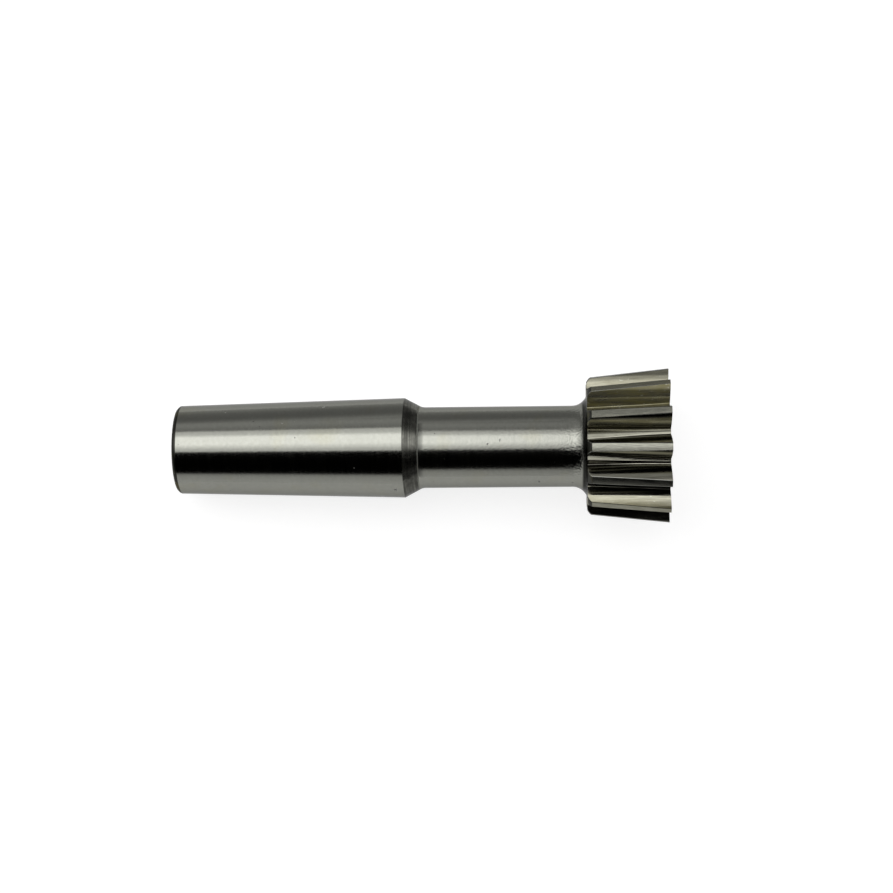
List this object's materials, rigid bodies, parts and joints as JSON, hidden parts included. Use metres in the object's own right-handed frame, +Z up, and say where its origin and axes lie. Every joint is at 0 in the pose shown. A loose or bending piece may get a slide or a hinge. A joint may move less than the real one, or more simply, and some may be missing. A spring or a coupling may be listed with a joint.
{
  "type": "gear shaper cutter",
  "caption": "One-piece shank type gear shaper cutter for involute splines: relieved toothed head, ground neck and self-holding taper shank.",
  "frame": {"origin": "on the ground, under the middle of the tool as it lies at rest on its two lowest tooth tips and the edge of its shank end", "axes": "+X towards the toothed head, +Y across the tool, +Z up; the tool's own axis lies in the XZ plane and climbs 3.6 degrees towards the head"},
  "size_m": [0.0608, 0.0186, 0.0185],
  "materials": {
    "ground_steel": "ground high-speed steel with fine lines around the axis, oiled and lightly stained in the tooth spaces"
  },
  "bodies": {
    "root": {"shaper_cutter": "ground_steel"}
  },
  "joints": []
}
